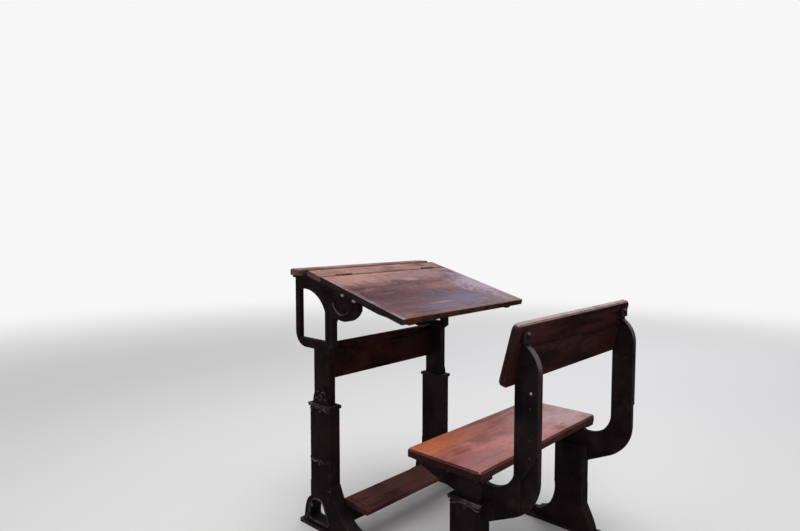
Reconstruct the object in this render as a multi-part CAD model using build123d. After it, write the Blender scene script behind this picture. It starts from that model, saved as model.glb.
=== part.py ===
from build123d import *
import os

# Single school desk with attached seat, millimetres.
# X runs to the pupil's right, Y away from the pupil, Z up, origin on the floor mid footprint.

# Half way from the back uprights to the far rail, taken off every piece at the end
CENTRE_Y = 8.0

# Iron columns, sockets and feet
IRON_OUT = 264.0
COLUMN_T = 25.0
COLUMN_W = 68.0
COLUMN_WALL = 5.0
SLIDE_GAP = 1.0
SOCKET_T = 40.0
SOCKET_W = 88.0
LIP_H = 10.0
LIP_OUT = 3.0
EDGE_CUT = 2.0
CAVITY_FLOOR = 100.0
DESK_Y = 301.0
SEAT_Y = -222.0
DESK_LIP_Z = 376.0
SEAT_LIP_Z = 262.0
DESK_CHEVRON_Z = 216.0
SEAT_CHEVRON_Z = 150.0
CHEVRON_DROP = 10.0
CHEVRON_BAND = 7.0
CHEVRON_PROUD = 2.4
FOOT_TOP = 140.0
RUNNER_FRONT = -315.0
RUNNER_REAR = 398.0
RUNNER_W = 52.0
RUNNER_T = 7.0
RIB_T = 9.0
RIB_TOP = 30.0
RIB_WAIST = 24.0
RUNNER_CORNER = 12.0
DESK_TOE = 150.0
SEAT_TOE = -118.0

# Foot outlines: out from the socket's rear face and up, then the sweep to the toe
DESK_OGEE = ((0.0, 92.0), (14.0, 80.0), (27.0, 45.0), (34.0, RUNNER_T))
DESK_SWEEP = ((DESK_TOE, RIB_TOP), (184.0, 42.0), (218.0, 72.0))
SEAT_OGEE = ((0.0, 80.0), (9.0, 62.0), (21.0, 36.0), (30.0, RUNNER_T))
SEAT_SWEEP = ((SEAT_TOE, RIB_TOP), (-146.0, 42.0), (-172.0, 76.0))

# Opening in the desk foot and the lug under the foot rest: y, z, corner radius
FOOT_LOOP = ((352.0, 20.0, 9.0), (347.0, 84.0, 30.0), (293.0, 92.0, 22.0), (259.0, 20.0, 9.0))
REST_LUG = ((160.0, 80.7, 0.0), (238.0, 86.2, 0.0), (238.0, 68.0, 3.0), (196.0, 52.0, 8.0))

# Desk standard
COLUMN_BOTTOM = 256.0
BRACKET_REAR = 418.0
BRACKET_TOP = 748.0
SLOPE_Y = 344.0
SLOPE_DEG = 15.4
ARM_REACH = 205.0
ARM_MITRE = 1.12
BRACKET_LOW = 534.0
BRACKET_CURVE = 46.0
NECK_FRONT = 252.0
NECK_LOW = 548.0
WEB_T = 11.0
BORDER = 7.0
BORDER_W = 20.0
FLANGE_OUT = 10.0
FLANGE_W = 34.0
FLANGE_T = 8.0
BOSS_Y = 204.0
BOSS_Z = 683.0
LOBE_START_Z = 662.2
LOBE_LOW = (184.0, 630.7)
LOBE_END = (232.0, 634.5)
CROOK = (248.5, 624.5)
NECK_TOP = 612.0
CHIN_RUN = 20.0
RING_R = 40.0
RING_W = 6.0
RING_PROUD = 5.0
RING_RISE = 3.0
TONGUE_R = 21.0
TONGUE_PROUD = 3.0
LOOP_REAR = 397.0
LOOP_FRONT = 279.0
LOOP_LOW = 561.0
LOOP_HIGH = 704.0
LOOP_SHOULDER = 648.0
LOOP_ARCH = (308.0, 686.0)
RIM_W = 8.0
RIM_PROUD = 3.0

# Wood of the desk
RAIL_T = 18.0
RAIL_HALF = 289.0
RAIL_W = 56.0
RAIL_CORNER = 14.0
TRAY_T = 8.0
SLOPE_T = 16.0
SLOPE_HALF = 277.0
HINGE_RAIL = 55.0
FLAP_START = 59.0
FLAP_LENGTH = 328.0
FLAP_LIFT = 0.6
EDGE_W = 14.0
EDGE_R = 3.0
BATTEN_X = 234.0
BATTEN_W = 22.0
BATTEN_T = 24.0
BATTEN_NOSE = 11.0
BATTEN_TAPER = 110.0
BATTEN_SHORT = 18.0
BATTEN_STOP = 12.0
STRETCHER_Y = 311.0
STRETCHER_T = 16.0
STRETCHER_LOW = 440.0
STRETCHER_TOP = 547.0
JOINT_GAP = 0.2
CLIP_X = (-166.0, -110.0)
CLIP_Z = (512.0, 528.0)
CLIP_T = 3.0
LUG_X = 34.0
LUG_T = 8.0
LUG_SHORT = 20.0

# Hinges
HINGE_X = 188.0
HINGE_HALF = 30.0
AXIS_S = 57.0
AXIS_N = 17.6
KNUCKLE_R = 3.4
PIN_R = 1.6
BORE_R = 2.0
KNUCKLE_ROOM = 0.6
KNUCKLE_GAP = 0.4
LEAF_T = 1.2
LEAF_LOW = 3.0
LEAF_TOP = 13.4
KNUCKLE_HALF = 10.0

# Seat standard
SEAT_COLUMN_BOTTOM = 104.0
SEAT_HALF = 286.0
SEAT_FRONT = -53.0
SEAT_REAR = -277.0
SEAT_LOW = 323.0
SEAT_T = 20.0
SEAT_CORNER = 10.0
SEAT_EDGE_CUT = 4.0
HEAD_FRONT = -65.0
HEAD_NOSE = 298.0
HEAD_LOW = 262.4
ARM_ROOT_Y = -275.0
ARM_ROOT_Z = 219.0
ARM_BEND = (-181.0, -119.0)
ARM_BEND_Z = 279.0
ARM_BEND_R = 40.0
DIP_FRONT = (-262.0, -268.0)
DIP_CORNER = 8.0
PLATE_T = 12.0
DIP_Z = 306.0
DIP_R = 62.0
HEEL_Z = 279.0
HEEL_R = 104.0
UPRIGHT_FRONT = -344.0
UPRIGHT_REAR = -402.0
UPRIGHT_MID_Z = 470.0
UPRIGHT_TOP = 642.0
TOP_FRONT = -365.0
SLOPE_START_Z = 552.0
SHOULDER_Z = 575.0
SHOULDER_MID = (-393.5, 612.0)
RELIEF = 6.0
RELIEF_REAR_Z = 406.0
RELIEF_FRONT_Z = 347.0
RELIEF_TIP = (-360.0, 340.0, 5.0)
FIN_Y = -358.0
FIN_W = 5.0
FIN_LOW = 270.0
FIN_TOP = 338.0
STEM_X = -249.0
STEM_FRONT = -363.5
STEM_W = 8.0
STEM_T = 8.0
STEM_GAP = 0.8
STEM_BOTTOM = 524.0
SLOT_FLOOR = 510.0
HOLE_R = 4.0
HOLE_Y = -384.0
HOLE_DEEP = 6.0
BLIND_HOLES = (400.0, 439.0, 508.0)
OPEN_HOLE_Z = 538.0

# Backrest
BACK_HALF = 286.0
BACK_T = 18.0
BACK_LEAN_DEG = 14.7
BACK_LOW_Y = -317.0
BACK_LOW_Z = 548.0
BACK_HEIGHT = 147.0
BACK_CORNER = 17.0
BACK_EDGE_CUT = 3.5
PAD_OUT = -267.0
PAD_IN = -232.0
PAD_REAR = -372.0
PAD_LOW = 645.0
PAD_UP = 131.0
PAD_FOOT_UP = 105.0
PAD_CORNER = 13.0
STEM_LAP = 4.0

# Foot rest
REST_Y = 193.0
REST_Z = 92.0
REST_W = 100.0
REST_T = 15.0
REST_TILT = 4.0
REST_GAP = 0.3


def slab(face, x0, x1):
    """A YZ outline pushed from x0 to x1."""
    return extrude(Plane.YZ.offset(x0) * face, amount=x1 - x0)


def block(x0, x1, y0, y1, z0, z1):
    """A box between six planes."""
    box = Box(x1 - x0, y1 - y0, z1 - z0)
    return Pos((x0 + x1) / 2, (y0 + y1) / 2, (z0 + z1) / 2) * box


def polygon(points):
    """A closed outline, each corner (y, z, radius)."""
    face = make_face(Polyline(*[(p[0], p[1]) for p in points], close=True))
    for y, z, r in points:
        if r:
            corner = face.vertices().sort_by_distance((y, z, 0))[0]
            face = fillet(corner, r)
    return face


def slope_point(s, n):
    """A point s down the slope and n above the iron."""
    down = Vector(-1, 0, 0).rotate(Axis.Z, SLOPE_DEG)
    up = Vector(0, 1, 0).rotate(Axis.Z, SLOPE_DEG)
    return Vector(SLOPE_Y, BRACKET_TOP, 0) + down * s + up * n


def slope_board(s0, s1, n0, n1):
    """The section of a board lying on the slope."""
    corners = [slope_point(s0, n0), slope_point(s1, n0), slope_point(s1, n1), slope_point(s0, n1)]
    return make_face(Polyline(*corners, close=True))


def pair(solid, name, parts):
    """The left piece and its mirror image."""
    parts[name + "_left"] = solid
    parts[name + "_right"] = mirror(solid, about=Plane.YZ)


def socket(y, lip_z, chevron_z):
    """Upright box casting that a column slides in, left side."""
    mid = -IRON_OUT + COLUMN_T / 2
    out = mid - SOCKET_T / 2
    body = block(out, out + SOCKET_T, y - SOCKET_W / 2, y + SOCKET_W / 2, FOOT_TOP - 1, lip_z)
    lip_w = SOCKET_W / 2 + LIP_OUT
    lip = block(out - LIP_OUT, out + SOCKET_T + LIP_OUT, y - lip_w, y + lip_w, lip_z - LIP_H, lip_z)
    body = chamfer(body.edges().filter_by(Axis.Z), EDGE_CUT)
    lip = chamfer(lip.edges().filter_by(Axis.Y), EDGE_CUT)
    half = SOCKET_W / 2 - LIP_OUT
    low = chevron_z - CHEVRON_BAND
    chevron = polygon([
        (y + half, chevron_z, 0),
        (y + half, low, 0),
        (y, low - CHEVRON_DROP, 0),
        (y - half, low, 0),
        (y - half, chevron_z, 0),
        (y, chevron_z - CHEVRON_DROP, 0),
    ])
    return body + lip + slab(chevron, out - CHEVRON_PROUD, out + 1)


def cavity(y, lip_z):
    """The hollow a column slides in."""
    mid = -IRON_OUT + COLUMN_T / 2
    t = COLUMN_T / 2 + SLIDE_GAP
    w = COLUMN_W / 2 + SLIDE_GAP
    return block(mid - t, mid + t, y - w, y + w, CAVITY_FLOOR, lip_z + 1)


def desk_foot():
    """Desk socket with its looped foot and the foot rest lug."""
    rear = DESK_Y + SOCKET_W / 2
    front = DESK_Y - SOCKET_W / 2
    back = [(rear + out, up) for out, up in DESK_OGEE]
    shoulder = Line((rear, FOOT_TOP), back[0])
    base = Line(back[-1], (DESK_TOE, RUNNER_T))
    toe = Line((DESK_TOE, RUNNER_T), DESK_SWEEP[0])
    sweep = Spline(*DESK_SWEEP, (front, FOOT_TOP))
    top = Line((front, FOOT_TOP), (rear, FOOT_TOP))
    foot = make_face([shoulder, Spline(*back), base, toe, sweep, top])
    loop = polygon(FOOT_LOOP)
    mid = -IRON_OUT + COLUMN_T / 2
    out = mid - SOCKET_T / 2
    solid = slab(foot, out, out + SOCKET_T) - slab(loop, out - 1, out + SOCKET_T + 1)
    solid += slab(polygon(REST_LUG), out + SOCKET_T - 1, out + SOCKET_T + LUG_X)
    solid += socket(DESK_Y, DESK_LIP_Z, DESK_CHEVRON_Z)
    return solid - cavity(DESK_Y, DESK_LIP_Z)


def seat_foot():
    """Seat socket with its plain swept foot."""
    rear = SEAT_Y - SOCKET_W / 2
    front = SEAT_Y + SOCKET_W / 2
    back = [(rear - out, up) for out, up in SEAT_OGEE]
    side = Line((rear, FOOT_TOP), back[0])
    base = Line(back[-1], (SEAT_TOE, RUNNER_T))
    toe = Line((SEAT_TOE, RUNNER_T), SEAT_SWEEP[0])
    sweep = Spline(*SEAT_SWEEP, (front, FOOT_TOP))
    top = Line((front, FOOT_TOP), (rear, FOOT_TOP))
    foot = make_face([side, Spline(*back), base, toe, sweep, top])
    mid = -IRON_OUT + COLUMN_T / 2
    out = mid - SOCKET_T / 2
    solid = slab(foot, out, out + SOCKET_T) + socket(SEAT_Y, SEAT_LIP_Z, SEAT_CHEVRON_Z)
    return solid - cavity(SEAT_Y, SEAT_LIP_Z)


def runner():
    """Floor iron of inverted T section."""
    mid = -IRON_OUT + COLUMN_T / 2
    plate = block(mid - RUNNER_W / 2, mid + RUNNER_W / 2, RUNNER_FRONT, RUNNER_REAR, 0, RUNNER_T)
    plate = fillet(plate.edges().filter_by(Axis.Z), RUNNER_CORNER)
    waist = Spline((SEAT_TOE, RIB_TOP), ((SEAT_TOE + DESK_TOE) / 2, RIB_WAIST), (DESK_TOE, RIB_TOP))
    base = Line((DESK_TOE, RUNNER_T), (SEAT_TOE, RUNNER_T))
    front = Line((SEAT_TOE, RUNNER_T), (SEAT_TOE, RIB_TOP))
    rear = Line((DESK_TOE, RIB_TOP), (DESK_TOE, RUNNER_T))
    rib = make_face([base, front, waist, rear])
    return plate + slab(rib, mid - RIB_T / 2, mid + RIB_T / 2)


def foot_rest():
    """Board between the desk feet, tipped a little to the pupil."""
    mid = -IRON_OUT + COLUMN_T / 2
    half = abs(mid + SOCKET_T / 2)
    board = Box(2 * (half - REST_GAP), REST_W, REST_T)
    board = fillet(board.edges().filter_by(Axis.X), EDGE_R)
    return Pos(0, REST_Y, REST_Z) * Rot(REST_TILT, 0, 0) * board


def bracket_outline():
    """Outer edge of the desk bracket."""
    tip = slope_point(ARM_REACH, 0)
    low = (tip.X, LOBE_START_Z)
    chin_end = NECK_FRONT + CHIN_RUN
    curve = BRACKET_REAR - BRACKET_CURVE
    rise = BRACKET_LOW + BRACKET_CURVE
    top = Line((BRACKET_REAR, BRACKET_TOP), (SLOPE_Y, BRACKET_TOP))
    slope = Line((SLOPE_Y, BRACKET_TOP), (tip.X, tip.Y))
    nose = Line((tip.X, tip.Y), low)
    lobe = ThreePointArc(low, LOBE_LOW, LOBE_END)
    crook = ThreePointArc(LOBE_END, CROOK, (NECK_FRONT, NECK_TOP))
    neck = Line((NECK_FRONT, NECK_TOP), (NECK_FRONT, NECK_LOW))
    chin = Line((NECK_FRONT, NECK_LOW), (chin_end, BRACKET_LOW))
    under = Line((chin_end, BRACKET_LOW), (curve, BRACKET_LOW))
    heel = RadiusArc((curve, BRACKET_LOW), (BRACKET_REAR, rise), -BRACKET_CURVE)
    back = Line((BRACKET_REAR, rise), (BRACKET_REAR, BRACKET_TOP))
    return make_face([top, slope, nose, lobe, crook, neck, chin, under, heel, back])


def loop_outline():
    """The D opening behind the neck."""
    low = Line((LOOP_REAR, LOOP_LOW), (LOOP_FRONT, LOOP_LOW))
    front = Line((LOOP_FRONT, LOOP_LOW), (LOOP_FRONT, LOOP_SHOULDER))
    arch = ThreePointArc((LOOP_FRONT, LOOP_SHOULDER), LOOP_ARCH, (LOOP_REAR, LOOP_HIGH))
    rear = Line((LOOP_REAR, LOOP_HIGH), (LOOP_REAR, LOOP_LOW))
    return make_face([low, front, arch, rear])


def flange_outline():
    """Section of the flat plate the wood is screwed to."""
    tip = slope_point(ARM_REACH, 0)
    low = slope_point(ARM_REACH, -FLANGE_T)
    bend = slope_point(ARM_MITRE, -FLANGE_T)
    return polygon([
        (BRACKET_REAR, BRACKET_TOP, 0),
        (SLOPE_Y, BRACKET_TOP, 0),
        (tip.X, tip.Y, 0),
        (low.X, low.Y, 0),
        (bend.X, bend.Y, 0),
        (BRACKET_REAR, bend.Y, 0),
    ])


def boss_ring():
    """Lower half of the raised ring on the lobe."""
    inner = RING_R - RING_W
    top = BOSS_Z + RING_RISE
    y = BOSS_Y
    z = BOSS_Z
    outer_arc = ThreePointArc((y - RING_R, z), (y, z - RING_R), (y + RING_R, z))
    inner_arc = ThreePointArc((y + inner, z), (y, z - inner), (y - inner, z))
    right = Polyline((y + RING_R, z), (y + RING_R, top), (y + inner, top), (y + inner, z))
    left = Polyline((y - inner, z), (y - inner, top), (y - RING_R, top), (y - RING_R, z))
    return make_face([outer_arc, *right.edges(), inner_arc, *left.edges()])


def boss_tongue():
    """Round tongue hanging inside the ring."""
    top = BOSS_Z + RING_RISE
    arc = ThreePointArc((BOSS_Y - TONGUE_R, top), (BOSS_Y, top - TONGUE_R), (BOSS_Y + TONGUE_R, top))
    return make_face([arc, Line((BOSS_Y + TONGUE_R, top), (BOSS_Y - TONGUE_R, top))])


def desk_standard():
    """Cast bracket and hollow column that carry the desk top."""
    out = -IRON_OUT
    outline = bracket_outline()
    loop = loop_outline()
    solid = slab(outline, out, out + WEB_T)
    border = outline - offset(outline, amount=-BORDER, kind=Kind.INTERSECTION)
    solid += slab(border, out, out + BORDER_W)
    rim = offset(loop, amount=RIM_W, kind=Kind.INTERSECTION)
    solid += slab(rim, out - RIM_PROUD, out + WEB_T + RIM_PROUD)
    solid -= slab(loop, out - RING_PROUD, out + FLANGE_W)
    solid += slab(flange_outline(), out - FLANGE_OUT, out - FLANGE_OUT + FLANGE_W)
    solid += slab(boss_ring(), out - RING_PROUD, out + 1)
    solid += slab(boss_tongue(), out - TONGUE_PROUD, out + 1)
    y0 = DESK_Y - COLUMN_W / 2
    y1 = DESK_Y + COLUMN_W / 2
    column = block(out, out + COLUMN_T, y0, y1, COLUMN_BOTTOM, NECK_LOW)
    solid += chamfer(column.edges().filter_by(Axis.Z), EDGE_CUT)
    w = COLUMN_WALL
    solid -= block(out + w, out + COLUMN_T - w, y0 + w, y1 - w, COLUMN_BOTTOM - 1, BRACKET_LOW)
    lug_y = STRETCHER_Y + STRETCHER_T
    solid += block(out + COLUMN_T - 1, out + COLUMN_T + LUG_X, lug_y, lug_y + LUG_T,
                   STRETCHER_LOW + LUG_SHORT, STRETCHER_TOP - LUG_SHORT)
    return solid


def stretcher_board():
    """Upright board that ties the two standards."""
    half = IRON_OUT - COLUMN_T - JOINT_GAP
    board = block(-half, half, STRETCHER_Y, STRETCHER_Y + STRETCHER_T, STRETCHER_LOW, STRETCHER_TOP)
    return fillet(board.edges().filter_by(Axis.X), EDGE_R)


def rear_rail():
    """Flat strip along the far edge, round at the ends."""
    top = BRACKET_TOP + RAIL_T
    board = block(-RAIL_HALF, RAIL_HALF, BRACKET_REAR - RAIL_W, BRACKET_REAR, BRACKET_TOP, top)
    board = fillet(board.edges().filter_by(Axis.Z), RAIL_CORNER)
    return chamfer(board.edges().group_by(Axis.Z)[-1], EDGE_R)


def pen_tray():
    """Thin floor of the pen groove."""
    front = SLOPE_Y + JOINT_GAP
    return block(-SLOPE_HALF, SLOPE_HALF, front, BRACKET_REAR - RAIL_W, BRACKET_TOP, BRACKET_TOP + TRAY_T)


def knuckle_room():
    """Round recesses in the joint for the hinge knuckles."""
    axis = slope_point(AXIS_S, AXIS_N)
    room = Pos(axis.X, axis.Y) * Circle(KNUCKLE_R + KNUCKLE_ROOM)
    half = HINGE_HALF + 1
    return slab(room, HINGE_X - half, HINGE_X + half) + slab(room, -HINGE_X - half, -HINGE_X + half)


def hinge_rail():
    """Fixed strip that carries the flap hinges."""
    board = slab(slope_board(0, HINGE_RAIL, 0, SLOPE_T), -SLOPE_HALF, SLOPE_HALF)
    return board - knuckle_room()


def flap_board():
    """Hinged writing flap without its end strips."""
    end = FLAP_START + FLAP_LENGTH
    half = SLOPE_HALF - EDGE_W
    board = slab(slope_board(FLAP_START, end, FLAP_LIFT, SLOPE_T + FLAP_LIFT), -half, half)
    nose = board.edges().filter_by(Axis.X).group_by(Axis.Y)[0]
    board = fillet(nose, EDGE_R)
    return board - knuckle_room()


def flap_edge():
    """Narrow strip across the grain at each end of the flap."""
    end = FLAP_START + FLAP_LENGTH
    section = slope_board(FLAP_START, end, FLAP_LIFT, SLOPE_T + FLAP_LIFT)
    strip = slab(section, -SLOPE_HALF, -SLOPE_HALF + EDGE_W)
    nose = strip.edges().filter_by(Axis.X).group_by(Axis.Y)[0]
    return fillet(nose, EDGE_R)


def flap_batten():
    """Tapered batten screwed under the flap."""
    s0 = FLAP_START + BATTEN_SHORT
    s1 = FLAP_START + FLAP_LENGTH - BATTEN_STOP
    n = FLAP_LIFT
    nose = slope_point(s1, n - BATTEN_NOSE)
    deep = slope_point(s1 - BATTEN_TAPER, n - BATTEN_T)
    corners = [slope_point(s0, n), slope_point(s1, n), nose, deep, slope_point(s0, n - BATTEN_T)]
    face = make_face(Polyline(*corners, close=True))
    return slab(face, -BATTEN_X, -BATTEN_X + BATTEN_W)


def knuckle(x0, x1, radius):
    """One barrel of a hinge."""
    axis = slope_point(AXIS_S, AXIS_N)
    return slab(Pos(axis.X, axis.Y) * Circle(radius), x0, x1)


def hinge_fixed():
    """Leaf on the rail with two barrels and the pin."""
    x0 = -HINGE_X - HINGE_HALF
    x1 = -HINGE_X + HINGE_HALF
    a = -HINGE_X - KNUCKLE_HALF
    b = -HINGE_X + KNUCKLE_HALF
    s = HINGE_RAIL + LEAF_T
    leaf = slab(slope_board(HINGE_RAIL, s, LEAF_LOW, LEAF_TOP), x0, x1)
    for start, stop in ((x0, a), (b, x1)):
        leaf += slab(slope_board(HINGE_RAIL, s, LEAF_TOP - 1, AXIS_N - 1), start, stop)
        leaf += knuckle(start, stop, KNUCKLE_R)
    return leaf + knuckle(x0, x1, PIN_R)


def hinge_moving():
    """Leaf on the flap with the middle barrel."""
    x0 = -HINGE_X - HINGE_HALF
    x1 = -HINGE_X + HINGE_HALF
    a = -HINGE_X - KNUCKLE_HALF + KNUCKLE_GAP
    b = -HINGE_X + KNUCKLE_HALF - KNUCKLE_GAP
    s = FLAP_START - LEAF_T
    leaf = slab(slope_board(s, FLAP_START, LEAF_LOW, LEAF_TOP), x0, x1)
    leaf += slab(slope_board(s, FLAP_START, LEAF_TOP - 1, AXIS_N - 1), a, b)
    leaf += knuckle(a, b, KNUCKLE_R)
    return leaf - knuckle(x0, x1, BORE_R)


def upright_outline():
    """Top of the back upright with its round shoulder."""
    front = Line((UPRIGHT_FRONT, UPRIGHT_MID_Z), (UPRIGHT_FRONT, SLOPE_START_Z))
    lean = Line((UPRIGHT_FRONT, SLOPE_START_Z), (TOP_FRONT, UPRIGHT_TOP))
    shoulder = ThreePointArc((TOP_FRONT, UPRIGHT_TOP), SHOULDER_MID, (UPRIGHT_REAR, SHOULDER_Z))
    rear = Line((UPRIGHT_REAR, SHOULDER_Z), (UPRIGHT_REAR, UPRIGHT_MID_Z))
    low = Line((UPRIGHT_REAR, UPRIGHT_MID_Z), (UPRIGHT_FRONT, UPRIGHT_MID_Z))
    return make_face([front, lean, shoulder, rear, low])


def arm_outline():
    """Flat casting: under seat head, dip, heel and foot of the upright."""
    return polygon([
        (HEAD_FRONT, SEAT_LOW, 0),
        (DIP_FRONT[0], SEAT_LOW, 0),
        (DIP_FRONT[1], DIP_Z, DIP_CORNER),
        (UPRIGHT_FRONT, DIP_Z, DIP_R),
        (UPRIGHT_FRONT, UPRIGHT_MID_Z, 0),
        (UPRIGHT_REAR, UPRIGHT_MID_Z, 0),
        (UPRIGHT_REAR, HEEL_Z, HEEL_R),
        (ARM_ROOT_Y, ARM_ROOT_Z, 0),
        (ARM_ROOT_Y, HEAD_LOW, 0),
        (ARM_BEND[0], HEAD_LOW, 0),
        (ARM_BEND[1], ARM_BEND_Z, ARM_BEND_R),
        (HEAD_FRONT, HEAD_NOSE, 0),
    ])


def relief_outline():
    """Raised outer skin, which stops in a slant over the heel."""
    return polygon([
        (UPRIGHT_FRONT, UPRIGHT_MID_Z, 0),
        (UPRIGHT_REAR, UPRIGHT_MID_Z, 0),
        (UPRIGHT_REAR, RELIEF_REAR_Z, 0),
        RELIEF_TIP,
        (UPRIGHT_FRONT, RELIEF_FRONT_Z, 0),
    ])


def seat_standard():
    """Cast seat bracket, heel, slotted back upright and hollow column."""
    out = -IRON_OUT
    inner = out + COLUMN_T
    face = inner - PLATE_T
    solid = slab(arm_outline(), face, inner)
    solid += slab(upright_outline(), face - RELIEF, inner)
    solid += slab(relief_outline(), face - RELIEF, inner - 1)
    solid += block(out - FLANGE_OUT, inner, SEAT_REAR, HEAD_FRONT, SEAT_LOW - BORDER, SEAT_LOW)
    solid += block(face - RIM_PROUD, face + 1, FIN_Y, FIN_Y + FIN_W, FIN_LOW, FIN_TOP)
    y0 = SEAT_Y - COLUMN_W / 2
    y1 = SEAT_Y + COLUMN_W / 2
    column = block(out, inner, y0, y1, SEAT_COLUMN_BOTTOM, SEAT_LOW - 1)
    solid += chamfer(column.edges().filter_by(Axis.Z), EDGE_CUT)
    w = COLUMN_WALL
    solid -= block(out + w, inner - w, y0 + w, y1 - w, SEAT_COLUMN_BOTTOM - 1, HEAD_LOW)
    t = STEM_T / 2 + STEM_GAP
    rear = STEM_FRONT - STEM_W - STEM_GAP
    solid -= block(STEM_X - t, STEM_X + t, rear, STEM_FRONT + STEM_GAP, SLOT_FLOOR, UPRIGHT_TOP + 1)
    for z in BLIND_HOLES:
        solid -= slab(Pos(HOLE_Y, z) * Circle(HOLE_R), face - RELIEF - 1, face - RELIEF + HOLE_DEEP)
    solid -= slab(Pos(HOLE_Y, OPEN_HOLE_Z) * Circle(HOLE_R), face - RELIEF - 1, inner + 1)
    return solid


def seat_board():
    """Single plank seat with worn round edges."""
    board = block(-SEAT_HALF, SEAT_HALF, SEAT_REAR, SEAT_FRONT, SEAT_LOW, SEAT_LOW + SEAT_T)
    board = fillet(board.edges().filter_by(Axis.Z), SEAT_CORNER)
    return chamfer(board.edges().group_by(Axis.Z)[-1], SEAT_EDGE_CUT)


def back_point(up, deep):
    """A point on the leaning board, up its face and deep into it."""
    along = Vector(0, 1, 0).rotate(Axis.Z, BACK_LEAN_DEG)
    into = Vector(-1, 0, 0).rotate(Axis.Z, BACK_LEAN_DEG)
    return Vector(BACK_LOW_Y, BACK_LOW_Z, 0) + along * up + into * deep


def back_board():
    """Leaning back board with rounded corners and edges."""
    mid = back_point(BACK_HEIGHT / 2, 0)
    normal = back_point(0, 1) - back_point(0, 0)
    plane = Plane(origin=(0, mid.X, mid.Y), x_dir=(1, 0, 0), z_dir=(0, normal.X, normal.Y))
    board = extrude(plane * RectangleRounded(2 * BACK_HALF, BACK_HEIGHT, BACK_CORNER), amount=BACK_T)
    faces = board.faces().sort_by(Axis.Y)
    return chamfer(faces[0].edges() + faces[-1].edges(), BACK_EDGE_CUT)


def back_bracket():
    """Stem that slides in the upright, and its round-topped lug behind the back board."""
    half = STEM_T / 2
    rear = STEM_FRONT - STEM_W
    stem = block(STEM_X - half, STEM_X + half, rear, STEM_FRONT, STEM_BOTTOM, PAD_LOW + STEM_LAP)
    low = back_point(PAD_FOOT_UP, BACK_T)
    high = back_point(PAD_UP, BACK_T)
    lug = slab(polygon([
        (low.X, PAD_LOW, 0),
        (high.X, high.Y, 0),
        (PAD_REAR, high.Y, 0),
        (PAD_REAR, PAD_LOW, 0),
    ]), PAD_OUT, PAD_IN)
    width = PAD_IN - PAD_OUT
    height = 2 * (high.Y - PAD_LOW)
    arch = Pos((PAD_OUT + PAD_IN) / 2, PAD_LOW) * RectangleRounded(width, height, PAD_CORNER)
    return stem + (lug & extrude(Plane.XZ * arch, amount=-2 * PAD_REAR))


def stretcher_clip():
    """Small iron clip on the face of the stretcher."""
    return block(*CLIP_X, STRETCHER_Y - CLIP_T, STRETCHER_Y, *CLIP_Z)


def build():
    """Every node by name."""
    parts = {
        "foot_rest": foot_rest(),
        "stretcher_board": stretcher_board(),
        "rear_rail": rear_rail(),
        "pen_tray": pen_tray(),
        "hinge_rail": hinge_rail(),
        "flap_board": flap_board(),
        "seat_board": seat_board(),
        "back_board": back_board(),
    }
    pair(runner(), "runner", parts)
    pair(desk_foot(), "desk_foot", parts)
    pair(seat_foot(), "seat_foot", parts)
    pair(desk_standard(), "desk_standard", parts)
    pair(stretcher_clip(), "stretcher_clip", parts)
    pair(flap_edge(), "flap_edge", parts)
    pair(flap_batten(), "flap_batten", parts)
    pair(hinge_fixed(), "hinge_fixed", parts)
    pair(hinge_moving(), "hinge_moving", parts)
    pair(seat_standard(), "seat_standard", parts)
    pair(back_bracket(), "back_bracket", parts)
    return {name: Pos(0, -CENTRE_Y, 0) * solid for name, solid in parts.items()}


os.makedirs("parts", exist_ok=True)
for node, solid in build().items():
    export_step(solid, "parts/" + node + ".step")
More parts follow.
